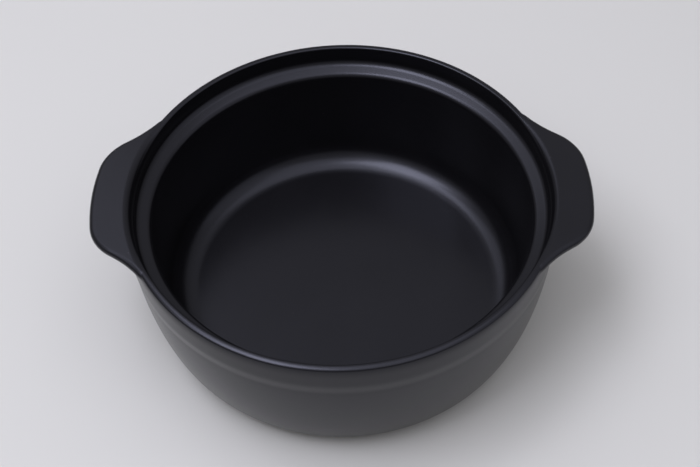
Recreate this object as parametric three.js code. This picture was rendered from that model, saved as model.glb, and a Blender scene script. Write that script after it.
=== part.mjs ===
// Round glazed stoneware cooking pot without its lid, in millimetres, +Z up.
// The origin is the centre of the footprint, on the surface that the pot stands on.
// The two lug handles lie on the X axis, and their tops run out level from the lip.
import * as THREE from 'three';

// Overall sizes
const overallHeight = 82;
const collarRadius = 106.2;
const collarHeight = 15.7;
const slipJoint = 0.3;

// Lip and the shoulder that runs from it into the collar
const lipInnerRound = 1.2;
const lipOuterRound = 2.6;
const shoulderEase = 0.3;
const shoulderDrop = 6;

// Lid seat: a ledge inside the lip that falls towards the mouth, with a cove up to the lip wall
const seatDepth = 12.8;
const seatWidth = 7.5;
const seatTilt = THREE.MathUtils.degToRad(17);
const seatCove = 3;
const seatEdgeRound = 2.4;

// Lower body: the collar steps in a little, then the wall draws in to the base
const collarStep = 0.8;
const stepDrop = 6;
const wallLean = 1.4;
const wallRun = 26.3;
const baseTaper = 17.8;
const heelSweep = 9;

// Cooking space
const insideTaper = 15.4;
const floorThickness = 6.5;
const floorFillet = 13.6;

// Foot ring under the base
const footHeight = 2.6;
const footInset = 8;
const footWidth = 7;
const footRound = 0.9;

// Lug handles
const lugReach = 16.5;
const lugHalfWidth = 46.3;
const lugSideAngle = THREE.MathUtils.degToRad(33.8);
const lugCorner = 25;
const lugRootFillet = 36;
const lugEndReach = 0.7;
const lugEdge = 4.6;
const lugSlope = 0.05;
const lugRootDepth = 12.5;
const lugEndDepth = 6.6;

// Facets
const turnSteps = 72;
const arcSteps = 6;
const smallArcSteps = 3;
const wallSteps = 9;

// Levels and radii that follow from the sizes above
const lipLevel = overallHeight;
const lipCrestRadius = collarRadius - lipOuterRound - shoulderEase;
const lipWallRadius = lipCrestRadius - lipInnerRound;
const seatLevel = lipLevel - seatDepth;
const seatEdgeRadius = lipWallRadius - seatWidth;
const collarEndLevel = lipLevel - collarHeight;
const bodyTopRadius = collarRadius - collarStep;
const baseRadius = collarRadius - baseTaper;
const baseLevel = footHeight + slipJoint;
const floorLevel = baseLevel + floorThickness;
const floorRadius = collarRadius - insideTaper - floorFillet;
const footOuterRadius = baseRadius - footInset;
const footInnerRadius = footOuterRadius - footWidth;

const quarterTurn = Math.PI / 2;
const shoulderAngle = Math.PI / 4;

function point(radius, level) {
  return new THREE.Vector2(radius, level);
}

function polar(radius, angle) {
  return new THREE.Vector2(radius * Math.cos(angle), radius * Math.sin(angle));
}

// Points on an arc, both ends included
function arc(centre, radius, startAngle, endAngle, steps) {
  const points = [];
  for (let i = 0; i <= steps; i += 1) {
    const angle = THREE.MathUtils.lerp(startAngle, endAngle, i / steps);
    points.push(polar(radius, angle).add(centre));
  }
  return points;
}

// Drops points that repeat the one before them
function withoutRepeats(points) {
  return points.filter((p, i) => i === 0 || p.distanceTo(points[i - 1]) > 1e-6);
}

// Where a line from a point touches a circle on its outer, lower side
function tangentAngle(centre, radius, from) {
  const offset = from.clone().sub(centre);
  return Math.atan2(offset.y, offset.x) - Math.acos(radius / offset.length());
}

// Outside of the lip from its crest's outer eighth down to the upright collar.
// With a clearance it gives the matching seat on a handle.
function shoulder(clearance) {
  const lipCentre = point(lipCrestRadius, lipLevel - lipOuterRound);
  const start = polar(lipOuterRound + clearance, shoulderAngle).add(lipCentre);
  const outerRadius = collarRadius + clearance;
  const control = point(outerRadius, start.y - (outerRadius - start.x));
  const end = point(outerRadius, lipLevel - shoulderDrop);
  return new THREE.QuadraticBezierCurve(start, control, end).getPoints(arcSteps);
}

// Inside of the pot: floor, fillet, drawn-in wall, lid seat and lip wall.
// The ledge's slope touches the round of its edge and the cove, so both centres follow the tilt.
function insideProfile() {
  const rise = Math.tan(seatTilt);
  const lift = 1 / Math.cos(seatTilt);
  const edgeLevel = seatLevel + seatEdgeRound * (rise - lift);
  const coveLevel = seatLevel + (seatWidth - seatCove) * rise + seatCove * lift;
  const filletCentre = point(floorRadius, floorLevel + floorFillet);
  const wallAngle = tangentAngle(filletCentre, floorFillet, point(seatEdgeRadius, edgeLevel));
  const edgeCentre = point(seatEdgeRadius + seatEdgeRound, edgeLevel);
  const coveCentre = point(lipWallRadius - seatCove, coveLevel);
  return [
    point(0, floorLevel),
    ...arc(filletCentre, floorFillet, -quarterTurn, wallAngle, arcSteps),
    ...arc(edgeCentre, seatEdgeRound, Math.PI, quarterTurn + seatTilt, smallArcSteps),
    ...arc(coveCentre, seatCove, seatTilt - quarterTurn, 0, arcSteps),
  ];
}

// Rounded lip, from the inner wall over the crest to the shoulder
function lipProfile() {
  const innerCentre = point(lipCrestRadius, lipLevel - lipInnerRound);
  const outerCentre = point(lipCrestRadius, lipLevel - lipOuterRound);
  return [
    ...arc(innerCentre, lipInnerRound, Math.PI, quarterTurn, smallArcSteps),
    ...arc(outerCentre, lipOuterRound, quarterTurn, shoulderAngle, smallArcSteps),
  ];
}

// Soft step under the collar, rolled in and out again
function collarStepProfile() {
  const half = stepDrop / 2;
  const start = point(collarRadius, collarEndLevel + half);
  const end = point(bodyTopRadius, collarEndLevel - half);
  const startControl = point(collarRadius, collarEndLevel + half / 3);
  const endControl = point(bodyTopRadius, collarEndLevel - half / 3);
  return new THREE.CubicBezierCurve(start, startControl, endControl, end).getPoints(arcSteps);
}

// Lower wall, drawn in to a rounded heel and the flat base
function lowerProfile() {
  const start = point(bodyTopRadius, collarEndLevel - stepDrop / 2);
  const startControl = point(bodyTopRadius - wallLean, start.y - wallRun);
  const endControl = point(baseRadius + heelSweep, baseLevel);
  const end = point(baseRadius, baseLevel);
  return new THREE.CubicBezierCurve(start, startControl, endControl, end).getPoints(wallSteps);
}

// Turns a profile round the Z axis into a solid
function turned(profile) {
  return new THREE.LatheGeometry(profile, turnSteps).rotateX(quarterTurn);
}

function potBodyGeometry() {
  const inside = insideProfile();
  const outside = [
    ...lipProfile(),
    ...shoulder(0),
    ...collarStepProfile(),
    ...lowerProfile(),
    point(0, baseLevel),
  ];
  return turned(withoutRepeats([...inside, ...outside]).reverse());
}

function footRingGeometry() {
  const innerCentre = point(footInnerRadius + footRound, footRound);
  const outerCentre = point(footOuterRadius - footRound, footRound);
  const innerTop = point(footInnerRadius, footHeight);
  const profile = [
    innerTop,
    ...arc(innerCentre, footRound, Math.PI, 3 * quarterTurn, smallArcSteps),
    ...arc(outerCentre, footRound, 3 * quarterTurn, 4 * quarterTurn, smallArcSteps),
    point(footOuterRadius, footHeight),
    innerTop.clone(),
  ];
  return turned(profile);
}

// Half of a handle's outline seen from above, from the tip to the root on the collar.
// The tip is concentric with the pot, the side is straight, and arcs join the three.
function lugHalfOutline() {
  const tipRadius = collarRadius + lugReach;
  const rootRadius = collarRadius + slipJoint + lugEndReach;
  const normalAngle = quarterTurn - lugSideAngle;
  const rootAngle = Math.asin(lugHalfWidth / collarRadius);
  const sideOffset = collarRadius * Math.cos(rootAngle - normalAngle);
  const acrossCorner = sideOffset - lugCorner;
  const acrossRoot = sideOffset + lugRootFillet;
  const cornerDistance = tipRadius - lugCorner;
  const rootDistance = rootRadius + lugRootFillet;
  const cornerAngle = normalAngle - Math.acos(acrossCorner / cornerDistance);
  const filletAngle = normalAngle - Math.acos(acrossRoot / rootDistance);
  const cornerCentre = polar(cornerDistance, cornerAngle);
  const filletCentre = polar(rootDistance, filletAngle);
  const facingIn = normalAngle + Math.PI;
  return [
    ...arc(point(0, 0), tipRadius, 0, cornerAngle, smallArcSteps),
    ...arc(cornerCentre, lugCorner, cornerAngle, normalAngle, arcSteps).slice(1),
    ...arc(filletCentre, lugRootFillet, facingIn, filletAngle + Math.PI, arcSteps),
  ];
}

// Upright section of a handle where its outline stands at the given radius.
// It goes down the seat on the lip and collar, out along the underside, and back over the edge.
function lugSection(edgeRadius) {
  const seat = shoulder(slipJoint);
  const seatRadius = collarRadius + slipJoint;
  const reach = edgeRadius - seatRadius;
  const share = reach / (lugReach - slipJoint);
  const rootLevel = lipLevel - THREE.MathUtils.lerp(lugEndDepth, lugRootDepth, share);
  const edgeRound = Math.min(lugEdge, reach) / 2;
  const topLevel = seat[0].y - lugSlope * (edgeRadius - edgeRound - seat[0].x);
  const edgeCentre = point(edgeRadius - edgeRound, topLevel - edgeRound);
  const root = point(seatRadius, rootLevel);
  const edgeFoot = point(edgeCentre.x, edgeCentre.y - edgeRound);
  const underControl = point(THREE.MathUtils.lerp(seatRadius, edgeFoot.x, 1 / 3), edgeFoot.y);
  const underside = new THREE.QuadraticBezierCurve(root, underControl, edgeFoot);
  return [
    ...seat,
    ...underside.getPoints(arcSteps),
    ...arc(edgeCentre, edgeRound, -quarterTurn, quarterTurn, arcSteps).slice(1),
  ];
}

// Skins a row of upright sections, each at its own angle round the Z axis, and closes the ends
function lofted(stations) {
  const count = stations[0].section.length;
  const positions = [];
  const faces = [];
  for (const { angle, section } of stations) {
    for (const p of section) {
      positions.push(p.x * Math.cos(angle), p.x * Math.sin(angle), p.y);
    }
  }
  for (let i = 0; i + 1 < stations.length; i += 1) {
    for (let j = 0; j < count; j += 1) {
      const a = i * count + j;
      const b = i * count + ((j + 1) % count);
      faces.push(a, a + count, b, b, a + count, b + count);
    }
  }
  const lastStart = (stations.length - 1) * count;
  for (const [a, b, c] of THREE.ShapeUtils.triangulateShape(stations[0].section, [])) {
    faces.push(a, b, c);
  }
  for (const [a, b, c] of THREE.ShapeUtils.triangulateShape(stations.at(-1).section, [])) {
    faces.push(lastStart + a, lastStart + c, lastStart + b);
  }
  const geometry = new THREE.BufferGeometry();
  geometry.setAttribute('position', new THREE.Float32BufferAttribute(positions, 3));
  geometry.setIndex(faces);
  geometry.computeVertexNormals();
  return geometry;
}

function lugGeometry() {
  const half = lugHalfOutline().map((p) => ({ angle: p.angle(), radius: p.length() }));
  const mirrored = half.slice(1).map(({ angle, radius }) => ({ angle: -angle, radius }));
  const outline = [...mirrored.reverse(), ...half];
  const stations = outline.map(({ angle, radius }) => ({ angle, section: lugSection(radius) }));
  return lofted(stations);
}

function blackGlaze() {
  return new THREE.MeshStandardMaterial({ color: 0x1c1b1f, roughness: 0.42, metalness: 0 });
}

function bareClay() {
  return new THREE.MeshStandardMaterial({ color: 0x9c8a76, roughness: 0.9, metalness: 0 });
}

function piece(name, geometry, material) {
  const mesh = new THREE.Mesh(geometry, material);
  mesh.name = name;
  return mesh;
}

const pot = new THREE.Group();
pot.add(piece('pot_body', potBodyGeometry(), blackGlaze()));
pot.add(piece('foot_ring', footRingGeometry(), bareClay()));
pot.add(piece('handle_right', lugGeometry(), blackGlaze()));

const handleLeft = piece('handle_left', lugGeometry(), blackGlaze());
handleLeft.rotation.z = Math.PI;
pot.add(handleLeft);

export default pot;
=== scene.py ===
import math

import bpy
from mathutils import Matrix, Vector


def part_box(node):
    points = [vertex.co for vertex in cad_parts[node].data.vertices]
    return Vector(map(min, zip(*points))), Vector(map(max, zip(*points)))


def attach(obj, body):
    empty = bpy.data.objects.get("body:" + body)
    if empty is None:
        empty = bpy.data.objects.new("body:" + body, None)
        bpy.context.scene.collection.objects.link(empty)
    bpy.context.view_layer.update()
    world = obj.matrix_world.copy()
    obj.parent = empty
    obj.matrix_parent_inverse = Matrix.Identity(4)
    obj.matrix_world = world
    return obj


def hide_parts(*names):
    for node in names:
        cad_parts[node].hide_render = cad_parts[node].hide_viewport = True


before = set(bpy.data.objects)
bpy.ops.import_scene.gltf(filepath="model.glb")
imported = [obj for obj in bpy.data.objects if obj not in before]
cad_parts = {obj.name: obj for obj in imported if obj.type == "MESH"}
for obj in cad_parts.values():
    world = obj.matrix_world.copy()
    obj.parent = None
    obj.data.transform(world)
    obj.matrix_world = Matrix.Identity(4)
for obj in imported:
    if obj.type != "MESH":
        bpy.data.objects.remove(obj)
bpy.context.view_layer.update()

# Lengths are in metres, and the angles in the settings are in degrees
mm = 0.001
fullTurn = 2 * math.pi
quarterTurn = math.pi / 2
mergeGap = 0.002 * mm  # mesh points nearer than this become one
repeatGap = 0.0001 * mm  # profile points nearer than this become one

# Main sizes, read from the frame
bodyLow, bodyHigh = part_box("pot_body")
footLow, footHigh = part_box("foot_ring")
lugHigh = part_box("handle_right")[1]
lipLevel = bodyHigh.z
baseLevel = bodyLow.z
collarRadius = bodyHigh.y
lugTipRadius = lugHigh.x


# Helpers for drawing and finishing
def deselectAll():
    bpy.ops.object.select_all(action="DESELECT")


def between(start, end, share):
    return start + (end - start) * share


def pointBetween(start, end, share):
    return (between(start[0], end[0], share), between(start[1], end[1], share))


def smoothStep(share):
    share = min(max(share, 0.0), 1.0)
    return share * share * (3 - 2 * share)


def polar(centre, radius, angle):
    return (centre[0] + radius * math.cos(angle), centre[1] + radius * math.sin(angle))


def arcPoints(centre, radius, startAngle, endAngle, steps):
    angles = [between(startAngle, endAngle, i / steps) for i in range(steps + 1)]
    return [polar(centre, radius, angle) for angle in angles]


def curvePoints(controls, steps):
    points = []
    for i in range(steps + 1):
        row = list(controls)
        while len(row) > 1:  # de Casteljau
            row = [pointBetween(here, there, i / steps) for here, there in zip(row, row[1:])]
        points.append(row[0])
    return points


def linePoints(start, end, steps):
    return [pointBetween(start, end, i / steps) for i in range(steps + 1)]


def withoutRepeats(points):
    kept = points[:1]
    for point in points[1:]:
        if math.dist(point, kept[-1]) > repeatGap:
            kept.append(point)
    return kept


def finishPiece(piece, material, sharpAngle):
    bpy.ops.object.mode_set(mode="OBJECT")
    bpy.ops.object.shade_smooth_by_angle(angle=math.radians(sharpAngle))
    piece.data.materials.clear()
    piece.data.materials.append(material)
    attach(piece, "root")
    deselectAll()


# Draws a profile point by point and spins it round the pot's axis
def spinProfile(name, points, steps):
    deselectAll()
    bpy.ops.mesh.primitive_plane_add(size=mm)
    piece = bpy.context.object
    piece.name = name
    piece.data.name = name
    bpy.ops.object.mode_set(mode="EDIT")
    bpy.ops.mesh.select_all(action="SELECT")
    bpy.ops.mesh.merge(type="CENTER")
    bpy.ops.transform.translate(value=(points[0][0], 0, points[0][1]))
    for here, there in zip(points, points[1:]):
        move = {"value": (there[0] - here[0], 0, there[1] - here[1])}
        bpy.ops.mesh.extrude_region_move(TRANSFORM_OT_translate=move)
    bpy.ops.mesh.select_all(action="SELECT")
    bpy.ops.mesh.spin(steps=steps, angle=fullTurn, center=(0, 0, 0), axis=(0, 0, 1))
    bpy.ops.mesh.select_all(action="SELECT")
    bpy.ops.mesh.remove_doubles(threshold=mergeGap)
    bpy.ops.mesh.normals_make_consistent(inside=False)
    return piece


# Camera at the photograph's place
cameraSetup = {
    "place": (0.01696, -0.42216, 0.5550),
    "pitch": 50.17,
    "turn": 1.815,
    "roll": -2.44,
    "focalPixels": 1300,
    "imageWidth": 700,
    "sensor": 36,
}


def addCamera(settings):
    deselectAll()
    bpy.ops.object.camera_add()
    camera = bpy.context.object
    camera.name = "photoCamera"
    turn = Matrix.Rotation(math.radians(settings["turn"]), 4, "Z")
    tilt = Matrix.Rotation(math.radians(90 - settings["pitch"]), 4, "X")
    roll = Matrix.Rotation(math.radians(settings["roll"]), 4, "Z")
    camera.matrix_world = Matrix.Translation(settings["place"]) @ turn @ tilt @ roll
    camera.data.sensor_width = settings["sensor"]
    camera.data.lens = settings["sensor"] * settings["focalPixels"] / settings["imageWidth"]
    bpy.context.scene.camera = camera
    print("camera placed")


addCamera(cameraSetup)


# Materials
def addNode(tree, kind, place, **values):
    node = tree.nodes.new(kind)
    node.location = place
    for key, value in values.items():
        setattr(node, key, value)
    return node


def setInputs(node, values):
    for socket, value in values.items():
        node.inputs[socket].default_value = value


def newMaterial(name):
    material = bpy.data.materials.new(name)
    material.use_nodes = True
    return material, material.node_tree.nodes["Principled BSDF"]


def newGroup(name, inputNames, outputName):
    tree = bpy.data.node_groups.new(name, "ShaderNodeTree")
    for inputName in inputNames:
        tree.interface.new_socket(inputName, in_out="INPUT", socket_type="NodeSocketFloat")
    tree.interface.new_socket(outputName, in_out="OUTPUT", socket_type="NodeSocketFloat")
    inputs = addNode(tree, "NodeGroupInput", (-900, 0))
    outputs = addNode(tree, "NodeGroupOutput", (700, 0))
    return tree, inputs, outputs


def addGroup(tree, group, place, values):
    node = addNode(tree, "ShaderNodeGroup", place, node_tree=group)
    setInputs(node, values)
    return node


def addNoise(tree, coords, place, values):
    noise = addNode(tree, "ShaderNodeTexNoise", place)
    setInputs(noise, values)
    tree.links.new(coords.outputs["Object"], noise.inputs["Vector"])
    return noise


# Rings that turning leaves: a height that varies with radius minus level, so all along the profile
ringSettings = {
    "drift": {"Scale": 40, "Detail": 2},
    "lines": {"Scale": 1, "Detail": 3},
}


def makeTurningRings(settings):
    tree, inputs, outputs = newGroup("turningRings", ("Spacing", "Wander"), "Height")
    coords = addNode(tree, "ShaderNodeTexCoord", (-900, 300))
    flat = addNode(tree, "ShaderNodeVectorMath", (-700, 300), operation="MULTIPLY")
    flat.inputs[1].default_value = (1, 1, 0)
    radius = addNode(tree, "ShaderNodeVectorMath", (-500, 300), operation="LENGTH")
    parts = addNode(tree, "ShaderNodeSeparateXYZ", (-500, 100))
    along = addNode(tree, "ShaderNodeMath", (-300, 250), operation="SUBTRACT")
    drift = addNoise(tree, coords, (-500, -150), settings["drift"])
    stray = addNode(tree, "ShaderNodeMath", (-300, -150), operation="MULTIPLY")
    wandered = addNode(tree, "ShaderNodeMath", (-100, 150), operation="ADD")
    count = addNode(tree, "ShaderNodeMath", (100, 150), operation="DIVIDE")
    lines = addNode(tree, "ShaderNodeTexNoise", (300, 150), noise_dimensions="1D")
    setInputs(lines, settings["lines"])
    link = tree.links.new
    link(coords.outputs["Object"], flat.inputs[0])
    link(flat.outputs["Vector"], radius.inputs[0])
    link(coords.outputs["Object"], parts.inputs["Vector"])
    link(radius.outputs["Value"], along.inputs[0])
    link(parts.outputs["Z"], along.inputs[1])
    link(drift.outputs["Fac"], stray.inputs[0])
    link(inputs.outputs["Wander"], stray.inputs[1])
    link(along.outputs["Value"], wandered.inputs[0])
    link(stray.outputs["Value"], wandered.inputs[1])
    link(wandered.outputs["Value"], count.inputs[0])
    link(inputs.outputs["Spacing"], count.inputs[1])
    link(count.outputs["Value"], lines.inputs["W"])
    link(lines.outputs["Fac"], outputs.inputs["Height"])
    return tree


# Small scattered specks, 1 inside a speck and 0 elsewhere
def makeSpecks():
    tree, inputs, outputs = newGroup("specks", ("Scale", "Size", "Share"), "Mask")
    coords = addNode(tree, "ShaderNodeTexCoord", (-700, 250))
    cells = addNode(tree, "ShaderNodeTexVoronoi", (-450, 150))
    inside = addNode(tree, "ShaderNodeMath", (-150, 150), operation="LESS_THAN")
    pick = addNode(tree, "ShaderNodeSeparateColor", (-250, -50))
    chosen = addNode(tree, "ShaderNodeMath", (-50, -50), operation="LESS_THAN")
    both = addNode(tree, "ShaderNodeMath", (200, 50), operation="MULTIPLY")
    link = tree.links.new
    link(coords.outputs["Object"], cells.inputs["Vector"])
    link(inputs.outputs["Scale"], cells.inputs["Scale"])
    link(cells.outputs["Distance"], inside.inputs[0])
    link(inputs.outputs["Size"], inside.inputs[1])
    link(cells.outputs["Color"], pick.inputs["Color"])
    link(pick.outputs["Red"], chosen.inputs[0])
    link(inputs.outputs["Share"], chosen.inputs[1])
    link(inside.outputs["Value"], both.inputs[0])
    link(chosen.outputs["Value"], both.inputs[1])
    link(both.outputs["Value"], outputs.inputs["Mask"])
    return tree


turningRings = makeTurningRings(ringSettings)
specks = makeSpecks()


# Two tones mixed by a noise, with specks of a third colour
def addSpeckedColour(tree, shader, noise, settings):
    tones = addNode(tree, "ShaderNodeMix", (-700, 300), data_type="RGBA")
    setInputs(tones, {"A": settings["dark"], "B": settings["pale"]})
    mask = addGroup(tree, specks, (-1150, 500), settings["specks"])
    specked = addNode(tree, "ShaderNodeMix", (-400, 350), data_type="RGBA")
    setInputs(specked, {"B": settings["speckColour"]})
    link = tree.links.new
    link(noise.outputs["Fac"], tones.inputs["Factor"])
    link(tones.outputs["Result"], specked.inputs["A"])
    link(mask.outputs["Mask"], specked.inputs["Factor"])
    link(specked.outputs["Result"], shader.inputs["Base Color"])


# A fine relief, with the turning rings over it
def addRelief(tree, shader, coords, settings):
    fine = addNoise(tree, coords, (-1150, -150), settings["relief"])
    fineBump = addNode(tree, "ShaderNodeBump", (-700, -250))
    setInputs(fineBump, {"Distance": settings["reliefDepth"]})
    rings = addGroup(tree, turningRings, (-1150, -450), settings["rings"])
    ringBump = addNode(tree, "ShaderNodeBump", (-400, -300))
    setInputs(ringBump, {"Distance": settings["ringDepth"]})
    link = tree.links.new
    link(fine.outputs["Fac"], fineBump.inputs["Height"])
    link(rings.outputs["Height"], ringBump.inputs["Height"])
    link(fineBump.outputs["Normal"], ringBump.inputs["Normal"])
    link(ringBump.outputs["Normal"], shader.inputs["Normal"])


# Satin black glaze, a little paler and rougher where it is thin, with a fine peel and some dust
glazeSettings = {
    "dark": (0.0035, 0.0033, 0.0038, 1),
    "pale": (0.0064, 0.0060, 0.0066, 1),
    "pool": {"Scale": 30, "Detail": 5},
    "tint": (0.88, 0.89, 1.0, 1),
    "shine": 0.42,
    "smooth": 0.23,
    "satin": 0.28,
    "speckColour": (0.020, 0.019, 0.020, 1),
    "specks": {"Scale": 260, "Size": 0.07, "Share": 0.05},
    "relief": {"Scale": 700, "Detail": 2},
    "reliefDepth": 0.012 * mm,
    "rings": {"Spacing": 0.9 * mm, "Wander": 0.5 * mm},
    "ringDepth": 0.010 * mm,
}


def makeBlackGlaze(settings):
    material, shader = newMaterial("black_glaze")
    tree = material.node_tree
    setInputs(shader, {"Specular Tint": settings["tint"], "Specular IOR Level": settings["shine"]})
    coords = addNode(tree, "ShaderNodeTexCoord", (-1400, 0))
    pool = addNoise(tree, coords, (-1150, 250), settings["pool"])
    gloss = addNode(tree, "ShaderNodeMapRange", (-700, 0))
    setInputs(gloss, {"To Min": settings["smooth"], "To Max": settings["satin"]})
    tree.links.new(pool.outputs["Fac"], gloss.inputs["Value"])
    tree.links.new(gloss.outputs["Result"], shader.inputs["Roughness"])
    addSpeckedColour(tree, shader, pool, settings)
    addRelief(tree, shader, coords, settings)
    return material


# Bare clay with grains of dark grog
claySettings = {
    "dark": (0.27, 0.195, 0.135, 1),
    "pale": (0.42, 0.33, 0.24, 1),
    "tone": {"Scale": 60, "Detail": 6},
    "roughness": 0.88,
    "speckColour": (0.10, 0.07, 0.05, 1),
    "specks": {"Scale": 600, "Size": 0.24, "Share": 0.16},
    "relief": {"Scale": 900, "Detail": 4},
    "reliefDepth": 0.08 * mm,
    "rings": {"Spacing": 0.6 * mm, "Wander": 0.3 * mm},
    "ringDepth": 0.06 * mm,
}


def makeBareClay(settings):
    material, shader = newMaterial("bare_clay")
    tree = material.node_tree
    setInputs(shader, {"Roughness": settings["roughness"]})
    coords = addNode(tree, "ShaderNodeTexCoord", (-1400, 0))
    tone = addNoise(tree, coords, (-1150, 250), settings["tone"])
    addSpeckedColour(tree, shader, tone, settings)
    addRelief(tree, shader, coords, settings)
    return material


blackGlaze = makeBlackGlaze(glazeSettings)
bareClay = makeBareClay(claySettings)
print("materials made")

# Pot body: floor, wall, lid seat, lip, collar and lower wall, turned in one piece
bodySettings = {
    "turnSteps": 240,
    "lipThickness": 4.1 * mm,
    "lipInnerRound": 1 * mm,
    "shoulderInset": 0.77 * mm,  # the shoulder starts this far in from the collar
    "shoulderFall": 0.72 * mm,  # and this far below the lip
    "shoulderDrop": 6 * mm,
    "seatDepth": 12.8 * mm,
    "seatWidth": 7.9 * mm,
    "seatTilt": 17,
    "seatCove": 4 * mm,
    "seatEdgeRound": 3.4 * mm,
    "collarHeight": 15.7 * mm,
    "collarStep": 0.8 * mm,
    "stepDrop": 8.5 * mm,  # height over which the step is spread
    "wallLean": 1.4 * mm,  # upper control of the lower wall's curve, in from the step
    "wallRun": 26.3 * mm,  # and down from it
    "baseTaper": 17.8 * mm,
    "heelSweep": 9 * mm,  # lower control, out from the edge of the base
    "floorThickness": 6.5 * mm,
    "insideTaper": 15.4 * mm,
    "floorFillet": 13.6 * mm,
    "easeRun": 4.3 * mm,  # softer lip beside each handle: its width
    "easeDepth": 6.5 * mm,  # its fall at the wall
    "easeSpan": 36,  # where it ends, from the middle of the handle
    "easeSink": 0.05 * mm,  # keeps the lip just under the top of the handle
    "floorSteps": 12,
    "filletSteps": 28,
    "wallSteps": 6,
    "seatEdgeSteps": 10,
    "seatCoveSteps": 16,
    "lipInnerSteps": 10,
    "curveSteps": 12,  # for each of the crown, the shoulder and the step
    "collarSteps": 3,
    "lowerWallSteps": 32,
    "baseSteps": 10,
    "sharpAngle": 50,
}
wallRadius = collarRadius - bodySettings["lipThickness"]
crestRadius = wallRadius + bodySettings["lipInnerRound"]
shoulderStart = (
    collarRadius - bodySettings["shoulderInset"],
    lipLevel - bodySettings["shoulderFall"],
)
shoulderEnd = (collarRadius, lipLevel - bodySettings["shoulderDrop"])
crownControl = (shoulderStart[0] - bodySettings["shoulderFall"], lipLevel)
shoulderControl = (collarRadius, shoulderStart[1] - bodySettings["shoulderInset"])
crownCurve = ((crestRadius, lipLevel), crownControl, shoulderStart)
shoulderCurve = (shoulderStart, shoulderControl, shoulderEnd)


# The lip's inner edge is rounded over more softly beside each handle
def easedLevel(radius, level, angle, sink):
    run = bodySettings["easeRun"]
    away = abs((angle + quarterTurn) % math.pi - quarterTurn)
    share = smoothStep(1 - away / math.radians(bodySettings["easeSpan"]))
    fall = min(max(wallRadius + run - radius, 0), run) / run
    target = lipLevel - bodySettings["easeDepth"] * (1 - math.sqrt(1 - fall ** 2))
    return between(level, min(level, target - sink), share)


def easeLip(body, settings):
    bpy.ops.object.mode_set(mode="OBJECT")
    lowest = lipLevel - settings["lipInnerRound"]
    for vertex in body.data.vertices:
        x, y, z = vertex.co
        radius = math.hypot(x, y)
        if z > lowest - settings["easeSink"] and radius > wallRadius - settings["easeSink"]:
            vertex.co.z = easedLevel(radius, z, math.atan2(y, x), settings["easeSink"])


def insideProfile(settings):
    floorLevel = baseLevel + settings["floorThickness"]
    filletRadius = settings["floorFillet"]
    floorRadius = collarRadius - settings["insideTaper"] - filletRadius
    edgeRadius = wallRadius - settings["seatWidth"]
    seatLevel = lipLevel - settings["seatDepth"]
    tilt = math.radians(settings["seatTilt"])
    filletCentre = (floorRadius, floorLevel + filletRadius)
    edgeRound = settings["seatEdgeRound"]
    cove = settings["seatCove"]
    edgeLevel = seatLevel + edgeRound * math.tan(tilt) - edgeRound / math.cos(tilt)
    edgeCentre = (edgeRadius + edgeRound, edgeLevel)
    coveLevel = seatLevel + (settings["seatWidth"] - cove) * math.tan(tilt) + cove / math.cos(tilt)
    coveCentre = (wallRadius - cove, coveLevel)
    offset = (edgeRadius - filletCentre[0], edgeLevel - filletCentre[1])
    slant = math.acos(filletRadius / math.hypot(*offset))
    wallAngle = math.atan2(offset[1], offset[0]) - slant
    fillet = arcPoints(filletCentre, filletRadius, -quarterTurn, wallAngle, settings["filletSteps"])
    return [
        *linePoints((0, floorLevel), fillet[0], settings["floorSteps"]),
        *fillet,
        *linePoints(fillet[-1], (edgeRadius, edgeLevel), settings["wallSteps"]),
        *arcPoints(edgeCentre, edgeRound, math.pi, quarterTurn + tilt, settings["seatEdgeSteps"]),
        *arcPoints(coveCentre, cove, tilt - quarterTurn, 0, settings["seatCoveSteps"]),
    ]


def outsideProfile(settings):
    bodyRadius = collarRadius - settings["collarStep"]
    baseRadius = collarRadius - settings["baseTaper"]
    half = settings["stepDrop"] / 2
    stepLevel = lipLevel - settings["collarHeight"]
    stepStart = (collarRadius, stepLevel + half)
    stepEnd = (bodyRadius, stepLevel - half)
    bend = half / 3
    stepControls = ((collarRadius, stepLevel + bend), (bodyRadius, stepLevel - bend))
    wallControls = (
        (bodyRadius - settings["wallLean"], stepEnd[1] - settings["wallRun"]),
        (baseRadius + settings["heelSweep"], baseLevel),
    )
    innerRound = settings["lipInnerRound"]
    innerCentre = (crestRadius, lipLevel - innerRound)
    return [
        *arcPoints(innerCentre, innerRound, math.pi, quarterTurn, settings["lipInnerSteps"]),
        *curvePoints(crownCurve, settings["curveSteps"]),
        *curvePoints(shoulderCurve, settings["curveSteps"]),
        *linePoints(shoulderEnd, stepStart, settings["collarSteps"]),
        *curvePoints((stepStart, *stepControls, stepEnd), settings["curveSteps"]),
        *curvePoints((stepEnd, *wallControls, (baseRadius, baseLevel)), settings["lowerWallSteps"]),
        *linePoints((baseRadius, baseLevel), (0, baseLevel), settings["baseSteps"]),
    ]


def buildPotBody(settings):
    points = withoutRepeats(insideProfile(settings) + outsideProfile(settings))
    body = spinProfile("potBody", points, settings["turnSteps"])
    easeLip(body, settings)
    finishPiece(body, blackGlaze, settings["sharpAngle"])
    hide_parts("pot_body")
    print("pot body turned,", len(body.data.polygons), "faces")


buildPotBody(bodySettings)

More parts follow.
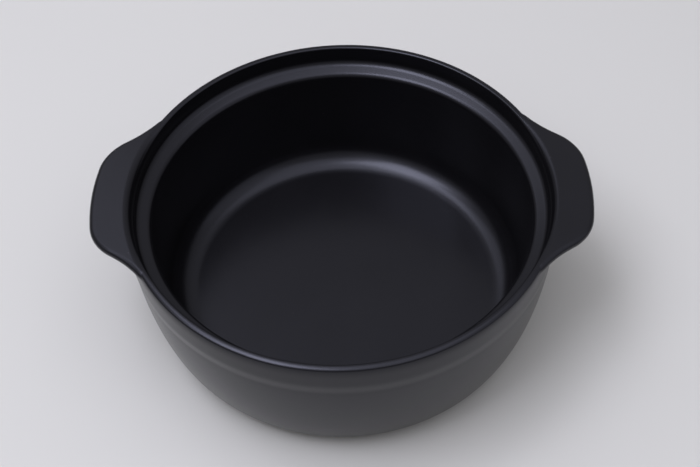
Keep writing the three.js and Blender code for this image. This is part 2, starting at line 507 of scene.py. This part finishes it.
# Lug handles: flat tops that leave the lip level, thin round edges, hollow undersides
lugSettings = {
    "halfWidth": 45.6 * mm,
    "sideAngle": 33.8,  # lean of the straight sides from the handle's middle line
    "corner": 25 * mm,
    "rootFillet": 60 * mm,
    "edge": 4.6 * mm,  # height of the round edge
    "edgeRun": 3 * mm,  # and its run outwards
    "slope": 0.05,
    "slopeStart": 4 * mm,  # run over which the slope of the top sets in
    "rootDepth": 12.5 * mm,  # how far down the handle joins the collar, in the middle
    "endDepth": 6.6 * mm,  # and at its ends
    "fade": 0.8 * mm,  # reach over which the handle rises out of the collar
    "sunk": 0.5 * mm,  # how far its inner face lies inside the collar
    "endSink": 0.05 * mm,
    "underReach": 0.6,  # bend of the hollow underside, as shares of its run
    "underRise": 0.65,  # and of its height
    "tipSteps": 12,
    "cornerSteps": 16,
    "sideSteps": 6,
    "filletSteps": 24,
    "topSteps": 26,
    "edgeSteps": 14,
    "underSteps": 18,
    "sharpAngle": 60,
}


# Half of the outline from the tip to the collar, each point as angle and radius
def lugHalfOutline(settings):
    normal = quarterTurn - math.radians(settings["sideAngle"])
    rootAngle = math.asin(settings["halfWidth"] / collarRadius)
    sideOffset = collarRadius * math.cos(rootAngle - normal)
    cornerDistance = lugTipRadius - settings["corner"]
    filletDistance = collarRadius + settings["rootFillet"]
    cornerAngle = normal - math.acos((sideOffset - settings["corner"]) / cornerDistance)
    filletAngle = normal - math.acos((sideOffset + settings["rootFillet"]) / filletDistance)
    cornerCentre = polar((0, 0), cornerDistance, cornerAngle)
    filletCentre = polar((0, 0), filletDistance, filletAngle)
    fromSide = normal + math.pi
    toCollar = filletAngle + math.pi
    corner = arcPoints(cornerCentre, settings["corner"], cornerAngle, normal, settings["cornerSteps"])
    fillet = arcPoints(filletCentre, settings["rootFillet"], fromSide, toCollar, settings["filletSteps"])
    points = [
        *arcPoints((0, 0), lugTipRadius, 0, cornerAngle, settings["tipSteps"]),
        *corner,
        *linePoints(corner[-1], fillet[0], settings["sideSteps"]),
        *fillet,
    ]
    return [(math.atan2(y, x), math.hypot(x, y)) for x, y in withoutRepeats(points)]


def lugTopLevel(radius, settings):
    run = max(radius - crestRadius, 0)
    start = settings["slopeStart"]
    slopedRun = run * run / (2 * start) if run < start else run - start / 2
    return lipLevel - settings["slope"] * slopedRun


# Section of the bare lip and collar, in the same three stretches as the lug's
def plainSection(rootLevel, settings):
    collarFoot = (collarRadius, rootLevel)
    return [
        *curvePoints(crownCurve, settings["topSteps"]),
        *curvePoints(shoulderCurve, settings["edgeSteps"])[1:],
        *linePoints(shoulderEnd, collarFoot, settings["underSteps"])[1:],
    ]


# Closed section at one angle: outer face, then the inner face inside the collar
def lugSection(angle, edgeRadius, settings):
    reach = edgeRadius - collarRadius
    reachShare = reach / (lugTipRadius - collarRadius)
    rootLevel = lipLevel - between(settings["endDepth"], settings["rootDepth"], reachShare)
    edgeRound = settings["edge"] / 2
    topEnd = max(edgeRadius - settings["edgeRun"], crestRadius)
    topLevel = lugTopLevel(topEnd, settings)
    edgeFoot = (topEnd, topLevel - settings["edge"])
    topSteps = settings["topSteps"]
    topRadii = [between(crestRadius, topEnd, i / topSteps) for i in range(topSteps + 1)]
    rim = arcPoints((0, 0), 1, quarterTurn, -quarterTurn, settings["edgeSteps"])
    underControls = (
        (between(topEnd, collarRadius, settings["underReach"]), edgeFoot[1]),
        (collarRadius, between(rootLevel, edgeFoot[1], settings["underRise"])),
    )
    full = [
        *[(radius, lugTopLevel(radius, settings)) for radius in topRadii],
        *[(topEnd + settings["edgeRun"] * out, topLevel + edgeRound * (up - 1)) for out, up in rim[1:]],
        *curvePoints((edgeFoot, *underControls, (collarRadius, rootLevel)), settings["underSteps"])[1:],
    ]
    fullShare = smoothStep(reach / settings["fade"])
    plain = plainSection(rootLevel, settings)
    outer = [pointBetween(bare, raised, fullShare) for bare, raised in zip(plain, full)]
    outer = [(radius, easedLevel(radius, level, angle, 0)) for radius, level in outer]
    sink = settings["endSink"]
    if reach < sink:  # the ends dip just under the collar's face
        outer = [(radius - sink, level - sink) for radius, level in outer]
    inner = [(radius - settings["sunk"], level) for radius, level in reversed(plain[topSteps:])]
    inner.append((crestRadius, easedLevel(crestRadius, lipLevel, angle, 0) - settings["sunk"]))
    return outer + inner + outer[:1]


# A grid is wrapped round the sections, seamed, and capped inside the collar
def buildLug(name, node, facing, settings):
    half = lugHalfOutline(settings)
    outline = [(-angle, radius) for angle, radius in reversed(half[1:])] + half
    sections = [lugSection(angle, radius, settings) for angle, radius in outline]
    lastColumn = len(outline) - 1
    lastRow = len(sections[0]) - 1
    deselectAll()
    bpy.ops.mesh.primitive_grid_add(x_subdivisions=lastColumn, y_subdivisions=lastRow, size=1)
    lug = bpy.context.object
    lug.name = name
    lug.data.name = name
    for vertex in lug.data.vertices:
        column = round((vertex.co.x + 0.5) * lastColumn)  # the grid is 1 wide, about its middle
        row = round((vertex.co.y + 0.5) * lastRow)
        radius, level = sections[column][row]
        x, y = polar((0, 0), radius, outline[column][0] + facing)
        vertex.co = (x, y, level)
    bpy.ops.object.mode_set(mode="EDIT")
    bpy.ops.mesh.select_all(action="SELECT")
    bpy.ops.mesh.remove_doubles(threshold=mergeGap)
    bpy.ops.mesh.fill_holes(sides=0)
    bpy.ops.mesh.select_all(action="SELECT")
    bpy.ops.mesh.normals_make_consistent(inside=False)
    finishPiece(lug, blackGlaze, settings["sharpAngle"])
    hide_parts(node)
    print(name, "made,", len(lug.data.polygons), "faces")


buildLug("handleRight", "handle_right", 0, lugSettings)
buildLug("handleLeft", "handle_left", math.pi, lugSettings)

# Foot ring: bare clay, wiped clean of glaze
footSettings = {
    "turnSteps": 192,
    "width": 7 * mm,
    "round": 0.9 * mm,
    "sunk": 0.3 * mm,
    "roundSteps": 6,
    "soleSteps": 4,
    "sharpAngle": 40,
}


def buildFootRing(settings):
    outer = footHigh.x
    inner = outer - settings["width"]
    top = baseLevel + settings["sunk"]
    sole = footLow.z
    edgeRound = settings["round"]
    innerCentre = (inner + edgeRound, sole + edgeRound)
    outerCentre = (outer - edgeRound, sole + edgeRound)
    points = withoutRepeats([
        (inner, top),
        *arcPoints(innerCentre, edgeRound, math.pi, 3 * quarterTurn, settings["roundSteps"]),
        *linePoints((innerCentre[0], sole), (outerCentre[0], sole), settings["soleSteps"]),
        *arcPoints(outerCentre, edgeRound, 3 * quarterTurn, fullTurn, settings["roundSteps"]),
        (outer, top),
        (inner, top),
    ])
    foot = spinProfile("footRing", points, settings["turnSteps"])
    finishPiece(foot, bareClay, settings["sharpAngle"])
    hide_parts("foot_ring")
    print("foot ring turned,", len(foot.data.polygons), "faces")


buildFootRing(footSettings)

# Pale floor and soft studio light
stageSettings = {
    "floorSize": 8,
    "floorColour": (0.654, 0.641, 0.584, 1),
    "floorRoughness": 0.9,
    "worldColour": (0.92, 0.92, 1.0, 1),
    "horizonStrength": 0.12,
    "zenithStrength": 0.56,
    "lamps": {
        "keySoftbox": {"elevation": 68, "azimuth": 207, "distance": 1.6, "size": 0.8, "power": 10.6},
        "backSoftbox": {"elevation": 70, "azimuth": 146, "distance": 1.6, "size": 0.6, "power": 2.7},
        "topPanel": {"elevation": 82, "azimuth": 270, "distance": 1.6, "size": 1.7, "power": 7.2},
        "leftFill": {"elevation": 48, "azimuth": 192, "distance": 1.6, "size": 0.6, "power": 1.2},
        "frontFill": {"elevation": 50, "azimuth": 240, "distance": 1.6, "size": 0.8, "power": 0.8},
        "rightFill": {"elevation": 35, "azimuth": 345, "distance": 1.6, "size": 1.4, "power": 1.7},
        "backFill": {"elevation": 48, "azimuth": 134, "distance": 1.7, "size": 0.9, "power": 1.5},
    },
    "lampColour": (0.83, 0.845, 1.0),
}


def addFloor(settings):
    deselectAll()
    bpy.ops.mesh.primitive_plane_add(size=settings["floorSize"])
    floor = bpy.context.object
    floor.name = "paleFloor"
    material, shader = newMaterial("pale_floor")
    setInputs(shader, {"Base Color": settings["floorColour"], "Roughness": settings["floorRoughness"]})
    floor.data.materials.append(material)


def addLight(settings):
    world = bpy.data.worlds.new("softRoom")
    world.use_nodes = True
    tree = world.node_tree
    background = tree.nodes["Background"]
    setInputs(background, {"Color": settings["worldColour"]})
    coords = addNode(tree, "ShaderNodeTexCoord", (-800, 0))
    parts = addNode(tree, "ShaderNodeSeparateXYZ", (-600, 0))
    rise = addNode(tree, "ShaderNodeMapRange", (-400, 0))  # dimmer towards the horizon
    setInputs(rise, {"To Min": settings["horizonStrength"], "To Max": settings["zenithStrength"]})
    tree.links.new(coords.outputs["Generated"], parts.inputs["Vector"])
    tree.links.new(parts.outputs["Z"], rise.inputs["Value"])
    tree.links.new(rise.outputs["Result"], background.inputs["Strength"])
    bpy.context.scene.world = world
    for name, lamp in settings["lamps"].items():
        tilt = math.radians(90 - lamp["elevation"])
        turn = math.radians(lamp["azimuth"]) + quarterTurn
        aim = Matrix.Rotation(turn, 4, "Z") @ Matrix.Rotation(tilt, 4, "X")
        bpy.ops.object.light_add(type="AREA")
        light = bpy.context.object
        light.name = name
        light.matrix_world = aim @ Matrix.Translation((0, 0, lamp["distance"]))
        light.data.size = lamp["size"]
        light.data.energy = lamp["power"]
        light.data.color = settings["lampColour"]
    deselectAll()
    print("stage lit")


addFloor(stageSettings)
addLight(stageSettings)
bpy.context.scene.view_settings.view_transform = "Standard"
